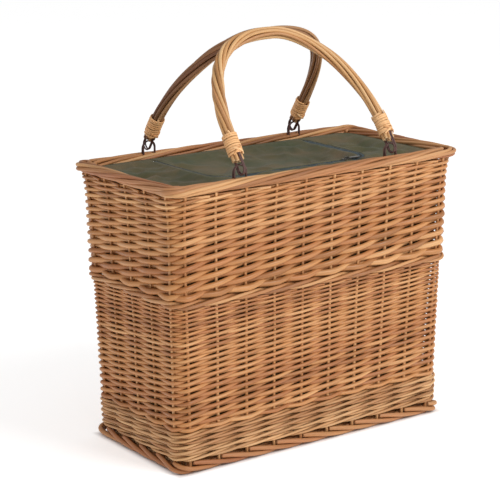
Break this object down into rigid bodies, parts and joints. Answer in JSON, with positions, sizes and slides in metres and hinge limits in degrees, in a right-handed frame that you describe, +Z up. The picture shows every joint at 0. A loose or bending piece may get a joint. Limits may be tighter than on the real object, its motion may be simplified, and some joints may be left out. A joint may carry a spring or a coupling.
{
  "type": "wicker cooler basket",
  "caption": "Tall oblong woven willow basket with a pair of hinged twisted-rod handles and a zipped, insulated cloth cooler bag inside.",
  "frame": {"origin": "centre of the basket's footprint, on the surface it stands on", "axes": "+X along the length to the right seen from the front, +Y to the rear handle's side, +Z up"},
  "size_m": [0.455, 0.2378, 0.5358],
  "materials": {
    "buff_willow": "boiled buff willow rods, satin",
    "pale_willow": "peeled pale willow rods, satin",
    "split_cane": "split cane, satin",
    "dark_loops": "dark brown coated wire",
    "green_tweed": "olive green herringbone tweed",
    "insulation": "soft white wadding foam",
    "silver_lining": "silvered wipe-clean lining",
    "zip_tape": "woven zip tape",
    "zip_metal": "dark nickel plated zip slider"
  },
  "bodies": {
    "basket": {"foot_border": "buff_willow", "base_panel": "buff_willow", "upsett_wale": "buff_willow", "lower_weave": "buff_willow", "waist_wale": "buff_willow", "upper_weave": "buff_willow", "top_border": "buff_willow", "front_left_rim_loop": "dark_loops", "front_right_rim_loop": "dark_loops", "rear_left_rim_loop": "dark_loops", "rear_right_rim_loop": "dark_loops", "bag_shell": "green_tweed", "bag_insulation": "insulation", "bag_lining": "silver_lining", "bag_top_panel": "green_tweed", "bag_zip_tape": "zip_tape"},
    "front_handle": {"front_handle_core_rod": "pale_willow", "front_handle_rod_1": "pale_willow", "front_handle_rod_2": "pale_willow", "front_handle_rod_3": "pale_willow", "front_handle_rod_4": "pale_willow", "front_handle_rod_5": "pale_willow", "front_handle_rod_6": "pale_willow", "front_left_winding": "split_cane", "front_right_winding": "split_cane", "front_left_handle_loop": "dark_loops", "front_right_handle_loop": "dark_loops"},
    "rear_handle": {"rear_handle_core_rod": "pale_willow", "rear_handle_rod_1": "pale_willow", "rear_handle_rod_2": "pale_willow", "rear_handle_rod_3": "pale_willow", "rear_handle_rod_4": "pale_willow", "rear_handle_rod_5": "pale_willow", "rear_handle_rod_6": "pale_willow", "rear_left_winding": "split_cane", "rear_right_winding": "split_cane", "rear_left_handle_loop": "dark_loops", "rear_right_handle_loop": "dark_loops"},
    "lid": {"lid_flap": "green_tweed", "lid_lining": "silver_lining", "lid_zip_tape": "zip_tape"},
    "slider": {"zip_slider": "zip_metal"},
    "pull": {"zip_pull": "zip_metal"}
  },
  "joints": [
    {"name": "front_handle_swing", "type": "hinge", "parent": "basket", "child": "front_handle", "pos_m": [0, -0.105, 0.385], "axis": [1, 0, 0], "range_deg": [0, 130]},
    {"name": "rear_handle_swing", "type": "hinge", "parent": "basket", "child": "rear_handle", "pos_m": [0, 0.105, 0.385], "axis": [-1, 0, 0], "range_deg": [0, 130]},
    {"name": "lid_swing", "type": "hinge", "parent": "basket", "child": "lid", "pos_m": [0, 0.086, 0.361], "axis": [-1, 0, 0], "range_deg": [0, 60]},
    {"name": "zip_travel", "type": "slide", "parent": "lid", "child": "slider", "axis": [-1, 0, 0], "range_m": [0, 0.16]},
    {"name": "pull_swing", "type": "hinge", "parent": "slider", "child": "pull", "pos_m": [0.08, -0.063, 0.3633], "axis": [0, -1, 0], "range_deg": [0, 170]}
  ]
}
